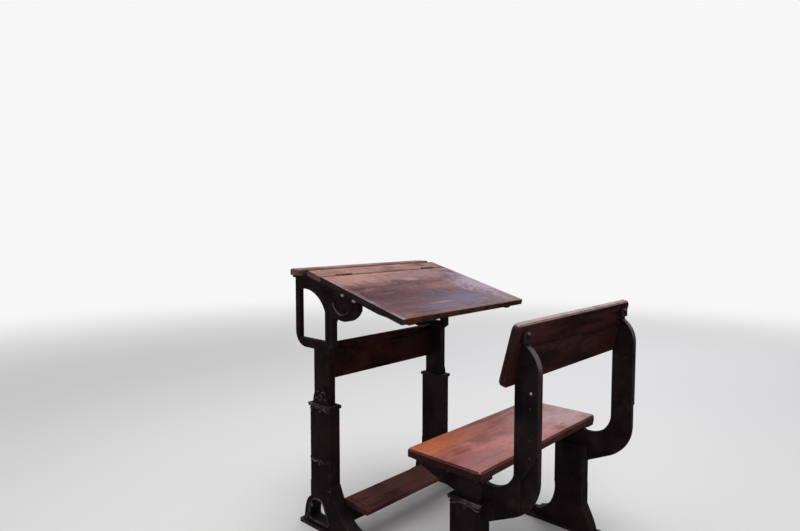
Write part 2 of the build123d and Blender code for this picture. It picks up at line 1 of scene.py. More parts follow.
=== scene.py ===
import bpy
import bmesh
from math import radians, sin, cos, tan, pi
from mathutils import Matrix, Quaternion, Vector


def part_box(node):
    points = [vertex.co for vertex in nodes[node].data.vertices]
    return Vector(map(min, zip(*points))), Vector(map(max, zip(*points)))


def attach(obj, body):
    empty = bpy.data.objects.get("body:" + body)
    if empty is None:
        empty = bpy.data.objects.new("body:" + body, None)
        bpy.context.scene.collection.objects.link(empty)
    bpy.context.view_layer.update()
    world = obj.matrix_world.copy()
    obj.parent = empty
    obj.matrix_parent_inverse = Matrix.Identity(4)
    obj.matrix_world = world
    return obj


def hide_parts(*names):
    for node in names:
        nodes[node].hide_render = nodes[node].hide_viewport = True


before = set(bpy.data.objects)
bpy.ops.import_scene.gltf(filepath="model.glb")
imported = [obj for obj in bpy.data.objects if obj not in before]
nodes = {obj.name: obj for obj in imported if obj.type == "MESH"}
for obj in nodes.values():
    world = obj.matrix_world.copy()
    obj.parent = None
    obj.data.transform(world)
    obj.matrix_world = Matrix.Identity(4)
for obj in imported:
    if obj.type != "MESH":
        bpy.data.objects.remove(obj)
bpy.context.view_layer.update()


# Stage.
# A plain pale floor under the desk, fading to white far off, with a broad soft lamp beyond the right
# side, a weaker one beside the viewer, one overhead and an even pale sky.
class Wire:
    """A shader value that takes part in sums, and makes the nodes that it needs."""

    def __init__(self, tree, socket=None):
        self.tree = tree
        self.socket = socket

    def make(self, kind, settings=None, inputs=None, out=0):
        """Adds a node, sets it and links it, and gives its output number out."""
        node = self.tree.nodes.new(kind)
        for name, value in (settings or {}).items():
            setattr(node, name, value)
        for key, value in (inputs or {}).items():
            if isinstance(value, Wire):
                self.tree.links.new(value.socket, node.inputs[key])
            else:
                node.inputs[key].default_value = value
        return Wire(self.tree, node.outputs[out] if len(node.outputs) else None)

    def sum(self, operation, *values):
        return self.make("ShaderNodeMath", {"operation": operation}, dict(enumerate(values)))

    def __add__(self, other):
        return self.sum("ADD", self, other)

    def __sub__(self, other):
        return self.sum("SUBTRACT", self, other)

    def __mul__(self, other):
        return self.sum("MULTIPLY", self, other)

    def __rsub__(self, other):
        return self.sum("SUBTRACT", other, self)

    __radd__ = __add__
    __rmul__ = __mul__

    def wave(self):
        """Sine, brought between 0 and 1."""
        return self.sum("SINE", self) * 0.5 + 0.5

    def size(self):
        return self.sum("ABSOLUTE", self)

    def length(self):
        """Length of a vector."""
        return self.make("ShaderNodeVectorMath", {"operation": "LENGTH"}, {0: self}, out=1)

    def between(self, low, high):
        """0 below low, 1 above high, with a soft step between."""
        settings = {"interpolation_type": "SMOOTHSTEP"}
        return self.make("ShaderNodeMapRange", settings, {"Value": self, "From Min": low, "From Max": high})

    def blend(self, first, second):
        """Colour first where this is 0, colour second where it is 1."""
        settings = {"data_type": "RGBA", "clamp_factor": True}
        return self.make("ShaderNodeMix", settings, {"Factor": self, 6: first, 7: second}, out=2)

    def place(self):
        """Place in the object's own coordinates."""
        return self.make("ShaderNodeTexCoord", out=3)

    def vector(self, operation, first, second, out=0):
        return self.make("ShaderNodeVectorMath", {"operation": operation}, {0: first, 1: second}, out=out)


def new_material(name):
    material = bpy.data.materials.new(name)
    material.use_nodes = True
    material.node_tree.nodes.clear()
    return material, Wire(material.node_tree)


bpy.ops.object.select_all(action="DESELECT")
bpy.ops.mesh.primitive_plane_add(size=30, location=(0, 0, 0))
floor = bpy.context.object
floor.name = "floor"
floor_paint, make = new_material("floor_paint")
far = make.place().length().between(1.8, 6.0)
seen = make.make("ShaderNodeLightPath", out=0)
glossy = make.make("ShaderNodeLightPath", out=3)
matt = make.make("ShaderNodeBsdfDiffuse", inputs={"Color": (0.84, 0.83, 0.82, 1)})
white = make.make("ShaderNodeEmission", inputs={"Color": (1, 1, 1, 1), "Strength": 0.93})
dim = make.make("ShaderNodeEmission", inputs={"Color": (1, 0.72, 0.68, 1), "Strength": 0.08})
mix = make.make("ShaderNodeMixShader", inputs={0: far * seen, 1: matt, 2: white})
mix = make.make("ShaderNodeMixShader", inputs={0: glossy, 1: mix, 2: dim})
make.make("ShaderNodeOutputMaterial", inputs={"Surface": mix})
floor.data.materials.append(floor_paint)

sky = bpy.data.worlds.new("sky")
sky.use_nodes = True
sky.node_tree.nodes.clear()
air = Wire(sky.node_tree)
seen = air.make("ShaderNodeLightPath", out=0)
glossy = air.make("ShaderNodeLightPath", out=3)
even = air.make("ShaderNodeBackground", inputs={"Color": (0.93, 0.95, 1.0, 1), "Strength": 0.36})
dusk = air.make("ShaderNodeBackground", inputs={"Color": (0.95, 0.8, 0.95, 1), "Strength": 0.15})
pale = air.make("ShaderNodeBackground", inputs={"Color": (1, 1, 1, 1), "Strength": 0.93})
mix = air.make("ShaderNodeMixShader", inputs={0: glossy, 1: even, 2: dusk})
mix = air.make("ShaderNodeMixShader", inputs={0: seen, 1: mix, 2: pale})
air.make("ShaderNodeOutputWorld", inputs={"Surface": mix})
bpy.context.scene.world = sky

for name, spot, watts, size, tint in (
    ("right_lamp", (3.1, 0.7, 2.3), 30, 2.2, (0.92, 0.94, 1.0)),
    ("viewer_lamp", (-2.4, -1.9, 2.0), 7, 2.2, (1.0, 0.97, 0.95)),
    ("top_lamp", (-0.2, 0.2, 3.2), 60, 2.4, (1.0, 0.98, 0.97)),
):
    lamp = bpy.data.lights.new(name, "AREA")
    lamp.energy = watts
    lamp.size = size
    lamp.color = tint
    lamp_object = bpy.data.objects.new(name, lamp)
    lamp_object.location = spot
    aim = Vector((0, 0, 0.45)) - Vector(spot)
    lamp_object.rotation_euler = aim.to_track_quat("-Z", "Y").to_euler()
    bpy.context.scene.collection.objects.link(lamp_object)

# The viewer stands behind the seat at its left, a little above the desk top, and looks slightly down.
camera = bpy.data.cameras.new("viewer")
camera.lens = 27.0
camera.sensor_width = 36.0
viewer = bpy.data.objects.new("viewer", camera)
viewer.location = (-1.358, -1.043, 0.896)
viewer.rotation_euler = (radians(86.1), 0, radians(-46.9))
bpy.context.scene.collection.objects.link(viewer)
bpy.context.scene.camera = viewer
bpy.context.scene.view_settings.view_transform = "Standard"


# Runners.
# Grey iron floor bars, dipped in black paint long ago. Shoes and brooms have rubbed the edges to
# brown metal, dust lies on top, and slotted screws hold each bar to the floorboards.
MM = 0.001
SIDES = (("left", -1), ("right", 1))
COLUMN_X = 251.5


def pattern(make, scale, stretch=(1, 1, 1), detail=4.0, rough=0.55, turn=(0, 0, 0), twist=0.0):
    """Noise in object space, drawn out along an axis by small numbers in stretch."""
    drawn = {"Vector": make.place(), "Rotation": turn, "Scale": stretch}
    place = make.make("ShaderNodeMapping", inputs=drawn)
    noise = {"Vector": place, "Scale": scale, "Detail": detail, "Roughness": rough, "Distortion": twist}
    return make.make("ShaderNodeTexNoise", inputs=noise)


def patch(make, centre, reach, ragged):
    """1 inside a patch with a ragged outline, 0 outside. Centre and reach are in millimetres."""
    away = make.vector("SUBTRACT", make.place(), tuple(v * MM for v in centre))
    away = make.vector("DIVIDE", away, tuple(v * MM for v in reach))
    return 1.0 - (away.length() + ragged).between(0.3, 1.25)


def worn_edge(make, width, lowest=-2.0):
    """1 on arrises, 0 on flat faces, and 0 too on arrises that look down more than lowest."""
    soft = make.make("ShaderNodeBevel", {"samples": 6}, {"Radius": width})
    sharp = make.make("ShaderNodeNewGeometry", out=1)
    above = make.vector("DOT_PRODUCT", soft, (0, 0, 1), out=1).between(lowest, lowest + 0.25)
    return (1.0 - make.vector("DOT_PRODUCT", soft, sharp, out=1)).between(0.02, 0.22) * above


def facing(make, way):
    """How far the piece's own surface faces a way, from -1 to 1, whichever way it has since swung."""
    return make.vector("DOT_PRODUCT", make.make("ShaderNodeTexCoord", out=1), way, out=1)


def finish_material(make, values):
    shader = make.make("ShaderNodeBsdfPrincipled", inputs=values)
    make.make("ShaderNodeOutputMaterial", inputs={"Surface": shader})


def painted_iron(name, shift, rub=0.7, bare=(0.105, 0.08, 0.075, 1), chips=(), polish=0.0, faces=()):
    """Old black paint on iron. Shift moves the pattern, rub bares the arrises and polish the whole face,
    chips are spots of bright metal, and faces are ways in which faces are painted another tint as a
    painted highlight."""
    material, make = new_material(name)
    cloud = pattern(make, 9.0 + shift, detail=5)
    mottle = pattern(make, 31.0 - shift, detail=8, rough=0.7)
    grain = pattern(make, 620.0, detail=3)
    pits = pattern(make, 190.0 + shift, detail=4, rough=0.6).between(0.62, 0.74)
    edge = worn_edge(make, 0.0024) * mottle.between(0.32, 0.58)
    dust = facing(make, (0, 0, 1))
    paint = cloud.between(0.35, 0.65).blend((0.0062, 0.003, 0.0038, 1), (0.019, 0.0098, 0.0112, 1))
    paint = (mottle.between(0.52, 0.7) * 0.7).blend(paint, (0.036, 0.018, 0.019, 1))
    paint = (pits * cloud.between(0.45, 0.7) * 0.5).blend(paint, (0.055, 0.024, 0.014, 1))
    paint = (dust.between(0.5, 1.0) * cloud.between(0.3, 0.7) * 0.45).blend(paint, (0.06, 0.05, 0.047, 1))
    if polish:
        paint = (mottle.between(0.38, 0.58) * (dust * 0.3 + 0.7) * polish).blend(paint, bare)
    # Painted highlight: faces turned each given way are painted the given tint.
    for way, tint, strength in faces:
        lit_face = facing(make, way).between(0.66, 0.92) * mottle.between(0.3, 0.5)
        paint = (lit_face * strength).blend(paint, tint)
    paint = (edge * rub).blend(paint, bare)
    for centre, reach in chips:
        chip = patch(make, centre, reach, mottle * 1.6 - 0.8)
        paint = chip.blend(paint, (0.42, 0.38, 0.39, 1))
    shine = 0.37 + mottle * 0.24 - edge * 0.1 + dust.between(0.6, 1.0) * 0.12 + pits * 0.15
    height = grain + mottle * 1.6 - pits * 0.8
    relief = make.make("ShaderNodeBump", inputs={"Strength": 0.24, "Distance": 0.0006, "Height": height})
    values = {"Base Color": paint, "Roughness": shine, "Metallic": edge * 0.4, "Normal": relief}
    finish_material(make, {**values, "Specular IOR Level": 0.28})
    return material


def dress(name, material):
    """A CAD node's material, in every slot it has."""
    node = nodes[name]
    node.data.materials.clear()
    node.data.materials.append(material)
    for slot in node.material_slots:
        slot.link = "OBJECT"
        slot.material = material


def choose(piece, test):
    """In edit mode, selects the faces whose centre and normal pass the test, and no others."""
    bpy.ops.mesh.select_mode(type="FACE")
    bpy.ops.mesh.select_all(action="DESELECT")
    shape = bmesh.from_edit_mesh(piece.data)
    for face in shape.faces:
        face.select_set(bool(test(face.calc_center_median(), face.normal)))
    bmesh.update_edit_mesh(piece.data)


def start(primitive, **size):
    """A primitive, alone selected and open in edit mode."""
    bpy.ops.object.select_all(action="DESELECT")
    getattr(bpy.ops.mesh, "primitive_" + primitive + "_add")(**size)
    bpy.ops.object.mode_set(mode="EDIT")
    return bpy.context.object


def soften(piece, width, segments=2):
    """Leaves edit mode, rounds the sharp edges and shades the rest smooth."""
    if bpy.context.mode != "OBJECT":
        bpy.ops.object.mode_set(mode="OBJECT")
    round_off = piece.modifiers.new("round_off", "BEVEL")
    round_off.width = width
    round_off.segments = segments
    round_off.limit_method = "ANGLE"
    round_off.angle_limit = radians(32)
    bpy.ops.object.modifier_apply(modifier="round_off")
    bpy.ops.object.mode_set(mode="EDIT")
    bpy.ops.mesh.select_all(action="SELECT")
    bpy.ops.mesh.remove_doubles(threshold=0.00001)
    bpy.ops.mesh.dissolve_degenerate(threshold=0.00001)
    bpy.ops.object.mode_set(mode="OBJECT")
    bpy.ops.object.shade_smooth_by_angle(angle=radians(40))
    return piece


def slotted_head(radius, dome):
    """Round screw head with a cut slot, standing on its rim at the origin."""
    head = start("cylinder", vertices=28, radius=radius, depth=dome * 0.6, location=(0, 0, dome * 0.2))
    choose(head, lambda spot, way: way.z > 0.9)
    bpy.ops.mesh.inset(thickness=radius * 0.26)
    bpy.ops.transform.translate(value=(0, 0, dome * 0.34))
    bpy.ops.mesh.inset(thickness=radius * 0.3)
    bpy.ops.transform.translate(value=(0, 0, dome * 0.16))
    for side in (-1, 1):
        bpy.ops.mesh.select_all(action="SELECT")
        bpy.ops.mesh.bisect(plane_co=(0, side * radius * 0.13, 0), plane_no=(0, 1, 0))
    half_slot, rim = radius * 0.1, radius * 0.8
    choose(head, lambda spot, way: abs(spot.y) < half_slot and way.z > 0.2 and spot.xy.length < rim)
    bpy.ops.mesh.extrude_region_move(TRANSFORM_OT_translate={"value": (0, 0, -dome * 0.4)})
    return soften(head, radius * 0.07)


def join(pieces, name):
    """One piece of several, at the origin, unturned and unscaled."""
    bpy.ops.object.select_all(action="DESELECT")
    for piece in pieces:
        piece.select_set(True)
    bpy.context.view_layer.objects.active = pieces[0]
    if len(pieces) > 1:
        bpy.ops.object.join()
    bpy.ops.object.transform_apply(location=True, rotation=True, scale=True)
    piece = bpy.context.object
    piece.name = name
    piece.data.name = name
    return piece


def set_out(head, name, spots):
    """Copies of one fixing, each stood on its spot (mm), pointed its own way and turned, as one piece."""
    copies = []
    for spot, way, turn in spots:
        copy = head.copy()
        copy.data = head.data.copy()
        copy.rotation_mode = "QUATERNION"
        upright = Vector(way).to_track_quat("Z", "Y")
        copy.rotation_quaternion = upright @ Quaternion((0, 0, 1), radians(turn))
        copy.location = Vector(spot) * MM
        bpy.context.scene.collection.objects.link(copy)
        copies.append(copy)
    bpy.data.objects.remove(head)
    return join(copies, name)


def fit(piece, material, body):
    """Gives a finished piece its material and the body that it moves with."""
    piece.data.materials.clear()
    piece.data.materials.append(material)
    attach(piece, body)


UP = (0, 0, 1)
PLATE_TOP = 6.9
# Each floor screw's offset from the bar's middle, its place along the bar and the turn of its slot
FLOOR_SCREWS = ((0, -314, 25), (0, 380.5, 70), (-17, -50, 110), (17, 10, 15), (-17, 90, 50))
runner_iron = painted_iron("runner_iron", 1.0, rub=0.95, bare=(0.19, 0.15, 0.145, 1))
screw_iron, make = new_material("screw_iron")
smear = pattern(make, 160.0, detail=6, rough=0.7)
edge = worn_edge(make, 0.0006)
metal = smear.between(0.4, 0.62).blend((0.03, 0.02, 0.018, 1), (0.12, 0.085, 0.07, 1))
metal = (edge * 0.8).blend(metal, (0.4, 0.35, 0.32, 1))
finish_material(make, {"Base Color": metal, "Metallic": 0.5 + edge * 0.4, "Roughness": 0.34 + smear * 0.3})
for side, sign in SIDES:
    dress("runner_" + side, runner_iron)
    spots = [((sign * COLUMN_X + aside, y, PLATE_TOP), UP, turn) for aside, y, turn in FLOOR_SCREWS]
    screws = set_out(slotted_head(5 * MM, 2.2 * MM), "floor_screws_" + side, spots)
    fit(screws, screw_iron, "base")


# Feet and sockets.
# One iron casting for each column: a swept foot and an upright box with a moulded lip. Raised beads,
# a brace and a small crest with a rosette are cast on, and a slotted screw grips the column from behind.
DESK_AXIS = 293.0
SOCKET_OUT = 271.5
SOCKET_IN = 231.5
SOCKET_HALF = 44.0
LIP_WAVES = 7
AWAY = (0, 1, 0)
DESK_LIP = 376.0
# Each socket's axis, the heights of its lip and its brace, and its clamp screw's height and turn
SOCKETS = (("desk", DESK_AXIS, DESK_LIP, 216.0, 330, 20), ("seat", -230.0, 262.0, 150.0, 226, 65))
CREST_FACE = 265.2
ROSE_FACE = 267.4
ROSE_Z = 396
LEAF_FACE = 268.0
# Leaf stems as points (y from the axis, z), the loop's corners (y, z, radius), its flare's points (y, z)
LEAF_STEMS = (((3, 405), (8, 412), (14, 413), (20, 407)), ((10, 392), (16, 394), (21, 391), (26, 384)))
LOOP = ((344, 20, 9), (339, 84, 30), (285, 92, 22), (251, 20, 9))
FLARE = ((331, 69), (338, 66), (343, 58), (347, 44), (353, 28), (361, 13))
SCROLL_EYE = (333, 63)
ANKLE = 127.5


def bead(points, radius, closed=False, taper=None, smooth=True):
    """A round bead along points (mm). Taper gives the share of the radius at each point."""
    bpy.ops.object.select_all(action="DESELECT")
    bpy.ops.curve.primitive_bezier_curve_add(location=(0, 0, 0))
    line = bpy.context.object
    spline = line.data.splines[0]
    spline.bezier_points.add(len(points) - 2)
    for number, (knot, spot) in enumerate(zip(spline.bezier_points, points)):
        knot.co = Vector(spot) * MM
        knot.handle_left_type = knot.handle_right_type = "AUTO" if smooth else "VECTOR"
        knot.radius = taper[number] if taper else 1.0
    spline.use_cyclic_u = closed
    spline.resolution_u = 6 if smooth else 1
    line.data.dimensions = "3D"
    line.data.bevel_depth = radius * MM
    line.data.bevel_resolution = 3
    line.data.use_fill_caps = not closed
    bpy.ops.object.convert(target="MESH")
    line = bpy.context.object
    bpy.ops.object.shade_smooth_by_angle(angle=radians(50))
    return line


def rounded(corners):
    """Points of a closed outline in Y and Z, each corner (y, z, radius) turned in an arc of five steps."""
    steps = 5
    outline = []
    for number, (y, z, radius) in enumerate(corners):
        corner = Vector((y, z))
        before = (Vector(corners[number - 1][:2]) - corner).normalized()
        after = (Vector(corners[(number + 1) % len(corners)][:2]) - corner).normalized()
        half = before.angle(after) / 2
        centre = corner + (before + after).normalized() * (radius / sin(half))
        first = corner + before * (radius / tan(half)) - centre
        last = corner + after * (radius / tan(half)) - centre
        for step in range(steps + 1):
            share = step / steps
            arm = first.lerp(last, share).normalized() * radius
            outline.append(centre + arm)
    return outline


def knob(radius, height):
    """Round boss with a stepped foot, standing at the origin."""
    boss = start("uv_sphere", segments=20, ring_count=12, radius=radius, location=(0, 0, 0))
    bpy.ops.mesh.select_all(action="SELECT")
    bpy.ops.mesh.bisect(plane_co=(0, 0, 0), plane_no=(0, 0, 1), clear_inner=True, use_fill=True)
    bpy.ops.mesh.select_all(action="SELECT")
    bpy.ops.transform.resize(value=(1, 1, height / radius), center_override=(0, 0, 0))
    choose(boss, lambda spot, way: way.z < -0.9)
    bpy.ops.mesh.extrude_region_move(TRANSFORM_OT_translate={"value": (0, 0, -0.0004)})
    bpy.ops.transform.resize(value=(1.22, 1.22, 1))
    bpy.ops.mesh.extrude_region_move(TRANSFORM_OT_translate={"value": (0, 0, -0.0012)})
    return soften(boss, 0.0003)


def square_head(width, height):
    """Square-headed screw on a round collar, standing at the origin."""
    parts = []
    for sides, reach, depth, middle, border, rise in ((24, 0.74, 0.4, 0.1, 0.1, 0.08),
                                                      (4, 0.707, 0.8, 0.55, 0.14, 0.12)):
        part = start("cylinder", vertices=sides, radius=width * reach, depth=height * depth,
                     location=(0, 0, height * middle))
        choose(part, lambda spot, way: way.z > 0.9)
        bpy.ops.mesh.inset(thickness=width * border)
        bpy.ops.transform.translate(value=(0, 0, height * rise))
        bpy.ops.object.mode_set(mode="OBJECT")
        parts.append(part)
    return soften(join(parts, "square_head"), width * 0.04)


def socket_moulding(name, sign, axis, lip, brace):
    """Beads, rope and knob round the lip, and the brace bead with its drop, all on the outer face."""
    proud = 2.2
    back, face, half = SOCKET_OUT - 5, SOCKET_OUT + proud, SOCKET_HALF + proud
    corners = ((back, -half), (face, -half), (face, half), (back, half))
    top = [(sign * x, axis + y, lip - 2.6) for x, y in corners]
    low = []
    for share in (-0.98, -0.8, -0.6, -0.38, -0.2, 0.0, 0.2, 0.38, 0.6, 0.8, 0.98):
        lift = 1 - min(1.0, abs(share) * 1.5) ** 2
        drop = 15.5 - 6.5 * lift + 1.8 * sin(share * 3 * pi) ** 2
        low.append((sign * (SOCKET_OUT + 1.2 + 1.8 * lift), axis + share * SOCKET_HALF, lip - drop))
    steps = range(-LIP_WAVES * 2, LIP_WAVES * 2 + 1)
    rope_face = sign * (SOCKET_OUT + 3.4)
    rope = [(rope_face, axis + step * 3.1, lip - 7.4 + (-1.3, 1.3)[step % 2]) for step in steps]
    face = sign * (SOCKET_OUT + 0.6)
    curl = [(38, 1.5), (33, -4), (24, -8.5), (14, -7.0), (6, -2.8), (0, -1.2),
            (-6, -2.8), (-14, -7.0), (-24, -8.5), (-33, -4), (-38, 1.5)]
    swell = (0.45, 0.8, 1.1, 1.0, 0.9, 0.8, 0.9, 1.0, 1.1, 0.8, 0.45)
    stud = ((sign * (SOCKET_OUT - 0.2), axis, lip - 19), (sign, 0, 0), 0)
    parts = [
        bead(top, 3.0, smooth=False, taper=(0.4, 1, 1, 0.4)),
        bead(low, 2.4, taper=(0.5,) + (1,) * 9 + (0.5,)),
        bead(rope, 1.5),
        bead([(face, axis + y, brace - 3.5 + z) for y, z in curl], 3.4, taper=swell),
        bead([(face, axis, brace - z) for z in (6, 12, 19)], 4.2, taper=(0.35, 0.8, 1.0)),
        set_out(knob(4.6 * MM, 3.2 * MM), "knob", [stud]),
    ]
    return join(parts, name)


def crest_plate(name, sign):
    """Half oval plate with a sunk field, stood over the outer lip. The column slides behind it."""
    crest = start("circle", vertices=48, radius=33 * MM, fill_type="NGON", location=(0, 0, 0))
    bpy.ops.mesh.select_all(action="SELECT")
    bpy.ops.mesh.bisect(plane_co=(0, 0, 0), plane_no=(0, 1, 0), clear_inner=True)
    bpy.ops.mesh.select_mode(type="VERT")
    bpy.ops.mesh.select_all(action="SELECT")
    bpy.ops.mesh.delete(type="ONLY_FACE")
    bpy.ops.mesh.select_all(action="SELECT")
    bpy.ops.mesh.edge_face_add()
    bpy.ops.mesh.select_mode(type="FACE")
    bpy.ops.mesh.select_all(action="SELECT")
    bpy.ops.mesh.normals_make_consistent(inside=False)
    bpy.ops.mesh.extrude_region_move(TRANSFORM_OT_translate={"value": (0, 0, 4.0 * MM)})
    bpy.ops.mesh.inset(thickness=4.5 * MM)
    bpy.ops.transform.translate(value=(0, 0, -1.6 * MM))
    bpy.ops.mesh.select_all(action="SELECT")
    bpy.ops.mesh.normals_make_consistent(inside=False)
    crest = soften(crest, 0.9 * MM)
    crest.scale = (1, 1.55, 1)
    crest.rotation_mode = "QUATERNION"
    crest.rotation_quaternion = Vector((sign, 0, 0)).to_track_quat("Z", "Y")
    crest.location = Vector((sign * CREST_FACE, DESK_AXIS, DESK_LIP)) * MM
    return join([crest], name)


def rosette():
    """Disc whose rim is drawn in between its petals, with a button in the middle, at the origin."""
    rose = start("circle", vertices=48, radius=10 * MM, fill_type="NGON", location=(0, 0, 0))
    bpy.ops.mesh.select_all(action="SELECT")
    bpy.ops.mesh.extrude_region_move(TRANSFORM_OT_translate={"value": (0, 0, 1.8 * MM)})
    bpy.ops.mesh.select_mode(type="VERT")
    bpy.ops.mesh.select_all(action="DESELECT")
    shape = bmesh.from_edit_mesh(rose.data)
    for vertex in shape.verts:
        vertex.select_set(cos(8 * Vector((1, 0)).angle_signed(vertex.co.xy)) < -0.4)
    bmesh.update_edit_mesh(rose.data)
    bpy.ops.transform.resize(value=(0.74, 0.74, 1), center_override=(0, 0, 0))
    choose(rose, lambda spot, way: way.z > 0.9 and abs(spot.x) + abs(spot.y) < 1 * MM)
    bpy.ops.mesh.inset(thickness=4.6 * MM)
    bpy.ops.transform.translate(value=(0, 0, -0.9 * MM))
    bpy.ops.mesh.inset(thickness=0.7 * MM)
    bpy.ops.transform.translate(value=(0, 0, 2.2 * MM))
    bpy.ops.mesh.select_all(action="SELECT")
    bpy.ops.mesh.normals_make_consistent(inside=False)
    return soften(rose, 0.5 * MM)


def foot_rims(name, sign):
    """Raised rims round both mouths of the foot's loop, the scroll on its flare and a band at the ankle."""
    outer, inner = sign * SOCKET_OUT, sign * SOCKET_IN
    rims = []
    for face in (outer, inner):
        rims.append(bead([(face, y, z) for y, z in rounded(LOOP)], 2.6, closed=True, smooth=False))
    scroll = [(outer, y, z) for y, z in FLARE]
    rims.append(bead(scroll, 3.0, taper=(0.5, 1.2, 1.0, 0.9, 0.8, 0.5)))
    front = DESK_AXIS - SOCKET_HALF
    outer, inner = sign * (SOCKET_OUT + 0.2), sign * (SOCKET_IN - 0.2)
    band = [(outer, front + 16, ANKLE + 1), (outer, front - 1.2, ANKLE),
            (inner, front - 1.2, ANKLE), (inner, front + 16, ANKLE + 1)]
    rims.append(bead(band, 2.4, smooth=False, taper=(0.3, 1, 1, 0.3)))
    eye = ((sign * (SOCKET_OUT - 0.3), *SCROLL_EYE), (sign, 0, 0), 0)
    rims.append(set_out(knob(4.2 * MM, 3.4 * MM), "scroll_eye", [eye]))
    return join(rims, name)


foot_iron = painted_iron("foot_iron", 0.0)
rubbed_iron = painted_iron("rubbed_iron", 6.0, rub=0.9, bare=(0.2, 0.165, 0.18, 1), polish=0.6)
for side, sign in SIDES:
    grips = []
    for post, axis, lip, brace, grip, turn in SOCKETS:
        dress(post + "_foot_" + side, foot_iron)
        moulding = socket_moulding(post + "_socket_moulding_" + side, sign, axis, lip, brace)
        fit(moulding, rubbed_iron, "base")
        grips.append(((sign * COLUMN_X, axis + SOCKET_HALF, grip), AWAY, turn))
    fit(crest_plate("desk_socket_crest_" + side, sign), foot_iron, "base")
    leaves = [set_out(rosette(), "rose", [((sign * ROSE_FACE, DESK_AXIS, ROSE_Z), (sign, 0, 0), 10)])]
    for way in (-1, 1):
        for stem in LEAF_STEMS:
            line = [(sign * LEAF_FACE, DESK_AXIS + way * y, z) for y, z in stem]
            leaves.append(bead(line, 2.0, taper=(0.4, 1.0, 1.15, 0.35)))
    fit(join(leaves, "crest_leaves_" + side), rubbed_iron, "base")
    fit(foot_rims("desk_foot_rims_" + side, sign), rubbed_iron, "base")
    grips = set_out(slotted_head(6.5 * MM, 2.6 * MM), "socket_screws_" + side, grips)
    fit(grips, screw_iron, "base")


# Foot rest.
# A sawn board stained dark red brown, scraped to bare wood along its front edge by shoes, and held
# down on the lugs of the feet by round-headed bolts.
GRIME = (0.018, 0.01, 0.009, 1)


def timber(name, dark, mid, pale, bare, along="X", gloss=0.34, wear=0.7, rub=0.4, arris=0.0026, shine=0.24,
           zones=(), joints=(), faces=()):
    """Stained and varnished wood. Zones are patches of another tint, from wear, stains and painted
    reflection, joints are dark hairlines between boards, and faces are ways in which the wood shows
    another tone: end grain, painted shade and painted highlight."""
    material, make = new_material(name)
    thin = {"X": (0.05, 1, 1), "Y": (1, 0.05, 1)}[along]
    band = {"X": (0.09, 1, 1), "Y": (1, 0.09, 1)}[along]
    growth = pattern(make, 9.0, band, detail=2, rough=0.4, twist=0.4)
    rings = (growth * 74.0).wave()
    streak = pattern(make, 120.0, thin, detail=6, rough=0.65)
    pores = pattern(make, 520.0, thin, detail=2)
    cloud = pattern(make, 5.5, detail=4, rough=0.6)
    blot = pattern(make, 16.0, detail=8, rough=0.7, twist=0.8)
    fine = pattern(make, 85.0, detail=6, rough=0.72)
    scratch = pattern(make, 210.0, (0.05, 1, 0.3), detail=2, turn=(0, 0, radians(24)))
    cut = pattern(make, 170.0, (1, 0.045, 0.3), detail=2, turn=(0, 0, radians(-17)))
    ragged = (blot + fine * 0.5) * 2.4 - 1.8
    edge = worn_edge(make, arris, -0.2) * (blot * 0.7 + fine * 0.6).between(0.46, 0.7)
    tone = rings * 0.3 + streak * 0.5 + cloud * 0.2
    colour = tone.between(0.3, 0.7).blend(dark, mid)
    colour = (cloud.between(0.44, 0.66) * 0.7).blend(colour, pale)
    for centre, reach, tint, strength in zones:
        colour = (patch(make, centre, reach, ragged) * strength).blend(colour, tint)
    colour = (pores.between(0.55, 0.7) * 0.55).blend(colour, tuple(c * 0.5 for c in dark[:3]) + (1,))
    rubbed = blot.between(0.52, 0.66)
    colour = (rubbed * fine.between(0.4, 0.62) * rub).blend(colour, bare)
    marks = scratch.between(0.67, 0.72) + cut.between(0.69, 0.74)
    colour = (marks * rub * blot.between(0.4, 0.6)).blend(colour, bare)
    colour = (fine.between(0.64, 0.74) * 0.6).blend(colour, GRIME)
    # Faces turned a given way take another tint: darker end grain, painted shade on faces turned from the
    # light and a painted highlight on faces turned to it, each mottled a little darker.
    for way, tint, strength, mottle_share in faces:
        mottled_tint = tuple(c * mottle_share for c in tint[:3]) + (1,)
        tint = (blot * 0.7 + streak * 0.3).between(0.44, 0.56).blend(tint, mottled_tint)
        colour = (facing(make, way).between(0.5, 0.75) * strength).blend(colour, tint)
    colour = (edge * wear).blend(colour, bare)
    seam = None
    for way, at in joints:
        gap = (make.vector("DOT_PRODUCT", make.place(), way, out=1) - at * MM).size()
        line = 1.0 - (gap + fine * 0.0006).between(0.0005, 0.0017)
        seam = line if seam is None else seam + line
    if seam is not None:
        colour = (seam * 0.85).blend(colour, GRIME)
    roughness = gloss + rubbed * 0.18 + pores.between(0.5, 0.7) * 0.12 + fine * 0.12 + edge * 0.15
    height = streak * 0.5 + rings * 0.12 - pores.between(0.5, 0.72) * 0.6 + fine * 0.3 - marks * 0.5
    if seam is not None:
        height = height - seam * 1.5
    relief = make.make("ShaderNodeBump", inputs={"Strength": 0.32, "Distance": 0.0007, "Height": height})
    values = {"Base Color": colour, "Roughness": roughness, "Specular IOR Level": shine, "Normal": relief}
    finish_material(make, values)
    return material


END_GRAIN = tuple(((sign, 0, 0), (0.05, 0.022, 0.016, 1), 0.6, 0.5) for sign in (1, -1))
REST_BOLTS = ((168, 98.3), (214, 101.5))
REST_BOLT_X = 214
REST_UP = (0, -0.07, 1)
shoe_wood = timber("shoe_wood", (0.045, 0.0105, 0.0075, 1), (0.125, 0.028, 0.02, 1), (0.165, 0.05, 0.038, 1),
                   (0.2, 0.11, 0.095, 1), gloss=0.5, wear=0.7, rub=0.4, faces=END_GRAIN)
dress("foot_rest", shoe_wood)
for side, sign in SIDES:
    bolts = [((sign * REST_BOLT_X, y, z), REST_UP, 0) for y, z in REST_BOLTS]
    bolts = set_out(knob(6.5 * MM, 3.4 * MM), "foot_rest_bolts_" + side, bolts)
    fit(bolts, screw_iron, "base")


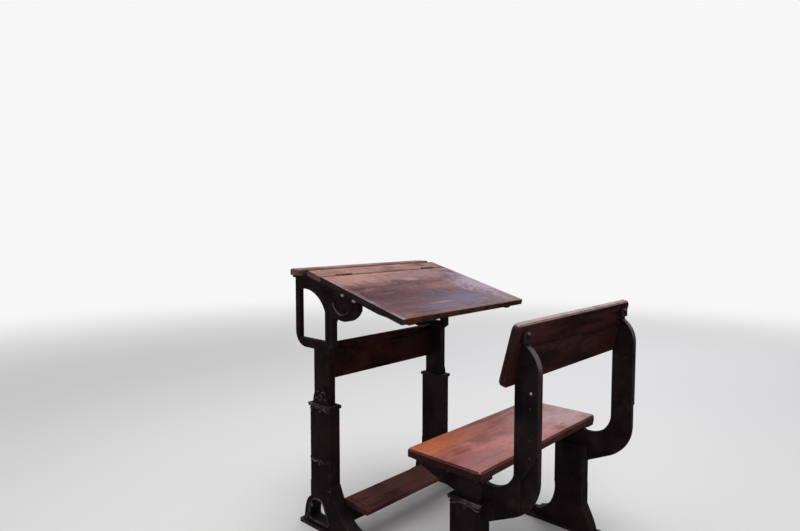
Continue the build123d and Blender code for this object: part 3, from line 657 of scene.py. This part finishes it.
# Desk standards.
# Iron castings with a looped bracket, a half ring on the lobe and a flat flange under the wood. The
# column below slides in its socket. Wood screws go up through the flange.
SLOPE = radians(15.4)
SLOPE_TOP_Y = 336.0
SLOPE_TOP_Z = 748.0
DOWN = (0, 0, -1)
FLANGE_X = 269
# The flange's underside, as its depth below the slope and its height where it is level, with its screws
UNDER_SLOPE = -7.9
UNDER_LEVEL = 740.2
SLOPE_SCREWS = (26, 96, 176)
LEVEL_SCREWS = (362, 398)
# The half ring on the lobe: its centre, its radius, the face it stands on and its turns in degrees
LOBE_Y = 196
LOBE_Z = 683
RING_RADIUS = 37
RING_FACE = 268.8
RING_TURNS = range(184, 358, 12)


def on_slope(x, s, n):
    """A point in millimetres, s down the slope from its top edge and n above the iron."""
    return (x, SLOPE_TOP_Y - s * cos(SLOPE) - n * sin(SLOPE), SLOPE_TOP_Z - s * sin(SLOPE) + n * cos(SLOPE))


DESK_CHIPS = [((sign * 274, y, z), (9, r, 7)) for sign in (-1, 1)
              for y, z, r in ((190, 702, 8), (143, 690, 7), (101, 678, 4))]
desk_iron = painted_iron("desk_iron", 2.0, chips=DESK_CHIPS)
OUT_OF_SLOPE = (0, sin(SLOPE), -cos(SLOPE))
for side, sign in SIDES:
    dress("desk_standard_" + side, desk_iron)
    heads = [(on_slope(sign * FLANGE_X, s, UNDER_SLOPE), OUT_OF_SLOPE, 30 + s) for s in SLOPE_SCREWS]
    heads += [((sign * FLANGE_X, y, UNDER_LEVEL), DOWN, y) for y in LEVEL_SCREWS]
    heads = set_out(slotted_head(3.8 * MM, 2.6 * MM), "flange_screws_" + side, heads)
    fit(heads, screw_iron, "desk")
    arc = []
    for turn in RING_TURNS:
        y = LOBE_Y + RING_RADIUS * cos(radians(turn))
        arc.append((sign * RING_FACE, y, LOBE_Z + RING_RADIUS * sin(radians(turn))))
    fit(join([bead(arc, 2.6)], "lobe_ring_bead_" + side), rubbed_iron, "desk")


# Stretcher.
# An upright board that ties the standards, dark with old polish, bolted to a lug on each column. Two
# small iron catches are screwed on near its top edge.
TOWARDS = (0, -1, 0)
STRETCHER_NUTS = (478, 509)
NUT_X = 221
LUG_REAR = 327
CATCH = (52, 13, 2.4)
CATCH_PANEL = 15
CATCH_SCREW = 20.5
stretcher_wood = timber("stretcher_wood", (0.014, 0.0028, 0.0022, 1), (0.038, 0.0075, 0.0056, 1),
                        (0.053, 0.0125, 0.0095, 1), (0.16, 0.085, 0.07, 1), gloss=0.5, wear=0.7, rub=0.12,
                        shine=0.1, faces=END_GRAIN)
dress("stretcher_board", stretcher_wood)
for side, sign in SIDES:
    nuts = [((sign * NUT_X, LUG_REAR, z), AWAY, z) for z in STRETCHER_NUTS]
    nuts = set_out(square_head(11 * MM, 7 * MM), "stretcher_nuts_" + side, nuts)
    fit(nuts, screw_iron, "desk")

    # Catch: a bar with a sloped border and a sunk middle, held by a screw at each end
    low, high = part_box("stretcher_clip_" + side)
    middle = (Vector(low) + Vector(high)) / 2
    catch = start("cube", size=1, location=(0, 0, 0))
    bpy.ops.transform.resize(value=tuple(size * MM for size in CATCH))
    choose(catch, lambda spot, way: way.z > 0.9)
    bpy.ops.mesh.inset(thickness=1.6 * MM)
    bpy.ops.transform.translate(value=(0, 0, 1.0 * MM))
    for cut in (-CATCH_PANEL, CATCH_PANEL):
        bpy.ops.mesh.select_all(action="SELECT")
        bpy.ops.mesh.bisect(plane_co=(cut * MM, 0, 0), plane_no=(1, 0, 0))
    choose(catch, lambda spot, way: way.z > 0.9 and abs(spot.x) < 10 * MM)
    bpy.ops.mesh.inset(thickness=2.4 * MM)
    bpy.ops.transform.translate(value=(0, 0, -1.1 * MM))
    catch = soften(catch, 0.7 * MM, segments=3)
    catch.rotation_mode = "QUATERNION"
    catch.rotation_quaternion = Quaternion((1, 0, 0), radians(90))
    catch.location = (middle.x, high[1] - 1.2 * MM, middle.z)
    catch = join([catch], "catch")
    x, y, z = middle.x / MM, high[1] / MM - 2.9, middle.z / MM
    pins = [((x + aside, y, z), TOWARDS, 40 + aside) for aside in (-CATCH_SCREW, CATCH_SCREW)]
    pins = set_out(slotted_head(2.6 * MM, 1.3 * MM), "pins", pins)
    catch = join([catch, pins], "stretcher_catch_" + side)
    fit(catch, desk_iron, "desk")
    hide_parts("stretcher_clip_" + side)


# Rails and pen groove.
# The far strip is the part most handled, rubbed pale on top, with its front face painted darker as
# shade. The groove in front of it is near black. The hinge strip has the colour of the flap and the
# same painted shade on its front face.
WOOD_TOP = 16.6
# Painted shade: the rails' front faces are painted darker; their ends are darker end grain.
RAIL_SHADE_AND_END_GRAIN = (((0, -1, 0), (0.07, 0.025, 0.02, 1), 0.7, 0.5),) + END_GRAIN
rail_wood = timber("rail_wood", (0.15, 0.056, 0.045, 1), (0.39, 0.2, 0.165, 1), (0.5, 0.31, 0.27, 1),
                   (0.52, 0.38, 0.33, 1), gloss=0.42, wear=0.9, rub=0.55, faces=RAIL_SHADE_AND_END_GRAIN)
groove_wood = timber("groove_wood", (0.02, 0.008, 0.008, 1), (0.045, 0.014, 0.013, 1), (0.06, 0.022, 0.02, 1),
                     (0.14, 0.07, 0.06, 1), gloss=0.5, wear=0.2, rub=0.2)
SEAM_GRIME = ((on_slope(0, 57, WOOD_TOP), (900, 4, 40), (0.016, 0.007, 0.008, 1), 0.85),)
strip_wood = timber("hinge_strip_wood", (0.12, 0.044, 0.036, 1), (0.3, 0.14, 0.11, 1), (0.42, 0.24, 0.205, 1),
                    (0.5, 0.35, 0.3, 1), gloss=0.42, wear=0.9, rub=0.5, zones=SEAM_GRIME, faces=RAIL_SHADE_AND_END_GRAIN)
dress("rear_rail", rail_wood)
dress("pen_tray", groove_wood)
dress("hinge_rail", strip_wood)


# Flap and its hinges.
# Three boards glued edge to edge with a strip across each end, varnished red brown, then leaned on
# and written on until the middle went grey, with a blot of ink. The blue grey across the front and the
# pale purple at the far end are painted reflection of cool light, and the front edge, the underside
# and both ends are painted darker as shade. Two battens are screwed underneath.
ACROSS = (0, -cos(SLOPE), -sin(SLOPE))
TOP_OF_SLOPE = -(SLOPE_TOP_Y * cos(SLOPE) + SLOPE_TOP_Z * sin(SLOPE))
BOARD_JOINTS = tuple((ACROSS, TOP_OF_SLOPE + s) for s in (171, 279))
END_JOINTS = (((1, 0, 0), 263.0), ((1, 0, 0), -263.0))
BATTEN_X = 223
UNDER_BATTEN = -23.3
BATTEN_SCREWS = (100, 175, 250)


def flap_patch(x, s, across, along, tint, strength):
    """A patch on the flap's upper face, s down the slope: its reach both ways, its tint and strength."""
    return (on_slope(x, s, WOOD_TOP), (across, along, 40), tint, strength)


# Patches on the flap's top: pale rubbed wear, orange and dark tones, a blot of ink and a dark line at the
# hinge. The blue grey ones are painted reflection.
FLAP_ZONES = (
    # painted reflection: a blue grey band across the front
    flap_patch(0, 310, 330, 90, (0.125, 0.066, 0.088, 1), 0.65),
    flap_patch(-190, 95, 170, 60, (0.5, 0.275, 0.24, 1), 0.78),
    flap_patch(-60, 70, 330, 14, (0.52, 0.27, 0.17, 1), 0.65),
    flap_patch(60, 105, 210, 46, (0.38, 0.22, 0.225, 1), 0.65),
    flap_patch(-60, 215, 190, 80, (0.11, 0.037, 0.045, 1), 0.7),
    flap_patch(90, 205, 120, 30, (0.3, 0.11, 0.11, 1), 0.55),
    flap_patch(-20, 262, 60, 34, (0.05, 0.044, 0.068, 1), 0.75),
    # painted reflection: the next two blue patches towards the front
    flap_patch(75, 315, 130, 40, (0.105, 0.095, 0.19, 1), 0.8),
    flap_patch(-70, 345, 110, 22, (0.125, 0.1, 0.175, 1), 0.65),
    # painted reflection: pale purple along the far end, on the far strip too
    flap_patch(290, 215, 130, 300, (0.37, 0.28, 0.37, 1), 0.85),
    flap_patch(-240, 330, 60, 60, (0.14, 0.06, 0.07, 1), 0.5),
    flap_patch(20, 135, 40, 12, (0.42, 0.28, 0.26, 1), 0.6),
    flap_patch(-40, 322, 50, 8, (0.36, 0.27, 0.29, 1), 0.6),
    flap_patch(0, 59, 900, 5, (0.016, 0.007, 0.008, 1), 0.9),
)
# Painted shade: the flap's front edge, its underside and both ends are painted darker, the front edge with an
# orange tinge.
FLAP_SHADE_FACES = (((0, -0.96, -0.27), (0.105, 0.034, 0.013, 1), 0.92, 0.2),
              (OUT_OF_SLOPE, (0.05, 0.02, 0.015, 1), 0.8, 0.6),
              ((-1, 0, 0), (0.02, 0.009, 0.011, 1), 0.95, 0.6),
              ((1, 0, 0), (0.03, 0.012, 0.012, 1), 0.9, 0.6))
flap_wood = timber("flap_wood", (0.07, 0.022, 0.024, 1), (0.17, 0.063, 0.06, 1), (0.24, 0.115, 0.11, 1),
                   (0.42, 0.3, 0.28, 1), gloss=0.4, wear=0.95, rub=0.3, arris=0.004, zones=FLAP_ZONES,
                   joints=BOARD_JOINTS + END_JOINTS, faces=FLAP_SHADE_FACES)
cleat_wood = timber("cleat_wood", (0.14, 0.075, 0.078, 1), (0.3, 0.2, 0.21, 1), (0.38, 0.28, 0.3, 1),
                    (0.5, 0.42, 0.43, 1), along="Y", gloss=0.4, wear=0.95, rub=0.35, zones=FLAP_ZONES,
                    joints=END_JOINTS, faces=FLAP_SHADE_FACES)
batten_wood = timber("batten_wood", (0.04, 0.014, 0.011, 1), (0.08, 0.03, 0.022, 1), (0.11, 0.045, 0.035, 1),
                     (0.24, 0.14, 0.11, 1), along="Y", gloss=0.5, wear=0.4, rub=0.3)
hinge_metal, make = new_material("hinge_metal")
stain = pattern(make, 90.0, detail=6, rough=0.7)
metal = stain.between(0.4, 0.65).blend((0.24, 0.12, 0.1, 1), (0.12, 0.055, 0.045, 1))
finish_material(make, {"Base Color": metal, "Metallic": 0.45, "Roughness": 0.4 + stain * 0.3})
dress("flap_board", flap_wood)
for side, sign in SIDES:
    dress("flap_edge_" + side, cleat_wood)
    dress("flap_batten_" + side, batten_wood)
    dress("hinge_fixed_" + side, hinge_metal)
    dress("hinge_moving_" + side, hinge_metal)
    heads = [(on_slope(sign * BATTEN_X, s, UNDER_BATTEN), OUT_OF_SLOPE, s) for s in BATTEN_SCREWS]
    heads = set_out(slotted_head(4 * MM, 2.2 * MM), "batten_screws_" + side, heads)
    fit(heads, screw_iron, "flap")


# Seat standards.
# Flat castings that carry the plank on a flange, dip behind it and rise to a slotted upright with a
# round shoulder. Faces turned up and back, the shoulder's most of all, are painted paler as a
# highlight. Square nuts hold the plank, and a steel pin shows in each upright's upper hole.
NUT_TOP = 316.2
SEAT_NUTS = (-262, -180, -96)
PIN_FACE = 257.2
PIN_Y = -392
PIN_Z = 538
pin_steel, make = new_material("pin_steel")
dull = pattern(make, 240.0, detail=4)
metal = dull.blend((0.72, 0.68, 0.68, 1), (0.5, 0.46, 0.46, 1))
finish_material(make, {"Base Color": metal, "Metallic": 0.7, "Roughness": 0.3 + dull * 0.2})
# Painted highlight: faces turned up and back, the upright's round shoulder most, are painted paler.
SHOULDER_HIGHLIGHT = (((0, -0.72, 0.69), (0.19, 0.14, 0.15, 1), 0.85),)
seat_iron = painted_iron("seat_iron", 4.0, faces=SHOULDER_HIGHLIGHT)
for side, sign in SIDES:
    dress("seat_standard_" + side, seat_iron)
    nuts = [((sign * FLANGE_X, y, NUT_TOP), DOWN, 0) for y in SEAT_NUTS]
    nuts = set_out(square_head(6.6 * MM, 5 * MM), "seat_nuts_" + side, nuts)
    fit(nuts, screw_iron, "seat")
    pin = [((sign * PIN_FACE, PIN_Y, PIN_Z), (sign, 0, 0), 0)]
    pin = set_out(knob(3.1 * MM, 2.2 * MM), "upright_pin_" + side, pin)
    fit(pin, pin_steel, "seat")


# Seat.
# One thick plank, planed and rounded at its edges. Its orange varnish is bright where nobody sits,
# and worn through to darker wood in the middle. The pale pink at the far end is painted reflection,
# and the rear edge, both ends and the underside are painted darker as shade.
SEAT_TOP = 343
SEAT_ZONES = (
    ((-215, -100, SEAT_TOP), (140, 50, 40), (0.66, 0.175, 0.06, 1), 0.85),
    ((-120, -120, SEAT_TOP), (110, 60, 40), (0.47, 0.12, 0.065, 1), 0.6),
    ((-110, -160, SEAT_TOP), (55, 36, 40), (0.17, 0.042, 0.03, 1), 0.6),
    ((-215, -235, SEAT_TOP), (130, 45, 40), (0.34, 0.15, 0.16, 1), 0.75),
    ((60, -190, SEAT_TOP), (120, 80, 40), (0.42, 0.165, 0.14, 1), 0.6),
    # painted reflection: pale pink over the far end
    ((225, -190, SEAT_TOP), (140, 130, 40), (0.42, 0.255, 0.265, 1), 0.8),
)
# Painted shade: the seat's rear edge, both ends and its underside are painted darker.
SEAT_SHADE_FACES = (((0, -1, 0), (0.07, 0.017, 0.013, 1), 0.9, 0.5),
              ((-1, 0, 0), (0.024, 0.0055, 0.0045, 1), 0.95, 0.5),
              ((1, 0, 0), (0.08, 0.02, 0.016, 1), 0.8, 0.5),
              ((0, 0, -1), (0.1, 0.05, 0.035, 1), 0.7, 0.7))
seat_wood = timber("seat_wood", (0.2, 0.045, 0.032, 1), (0.42, 0.112, 0.078, 1), (0.54, 0.215, 0.175, 1),
                   (0.56, 0.34, 0.28, 1), gloss=0.3, wear=0.9, rub=0.25, arris=0.0042,
                   zones=SEAT_ZONES, faces=SEAT_SHADE_FACES)
dress("seat_board", seat_wood)


# Back board and its lugs.
# Mahogany stained board, polished by coats. Its top edge is painted pale as a highlight and its near
# end painted darker as shade. Each lug stands on a stem that slides in the upright, and a
# round-headed bolt goes through it into the board.
LEAN = radians(14.7)
# Painted highlight on the top edge, painted shade on the near end.
BACK_HIGHLIGHT_AND_SHADE = (((0, -sin(LEAN), cos(LEAN)), (0.42, 0.29, 0.28, 1), 0.85, 0.75),
              ((-1, 0, 0), (0.034, 0.0095, 0.0085, 1), 0.9, 0.5))
BOLT_SPOT = (249.5, -379.9, 660.5)
back_wood = timber("back_wood", (0.018, 0.0034, 0.0031, 1), (0.06, 0.0122, 0.0108, 1),
                   (0.082, 0.019, 0.017, 1), (0.3, 0.18, 0.15, 1), gloss=0.42, wear=0.95, rub=0.08,
                   arris=0.0052, faces=BACK_HIGHLIGHT_AND_SHADE)
dress("back_board", back_wood)
for side, sign in SIDES:
    dress("back_bracket_" + side, seat_iron)
    x, y, z = BOLT_SPOT
    bolt = set_out(knob(7.5 * MM, 4.2 * MM), "back_bolt_" + side, [((sign * x, y, z), TOWARDS, 0)])
    fit(bolt, seat_iron, "backrest")


# Arrises.
# Cast corners come from the mould a little round, and years of hands have worn those of the boards, so
# every solid is welded and its sharp edges are eased. Only the thin hinge leaves keep a tight edge.
WELD_REACH = 0.00002
for name, node in nodes.items():
    weld = node.modifiers.new("weld", "WELD")
    weld.merge_threshold = WELD_REACH
    ease = node.modifiers.new("ease", "BEVEL")
    ease.width = (0.3 if name.startswith(("hinge_fixed", "hinge_moving")) else 1.2) * MM
    ease.segments = 2
    ease.limit_method = "ANGLE"
    ease.angle_limit = radians(35)
    ease.use_clamp_overlap = True
    ease.harden_normals = True
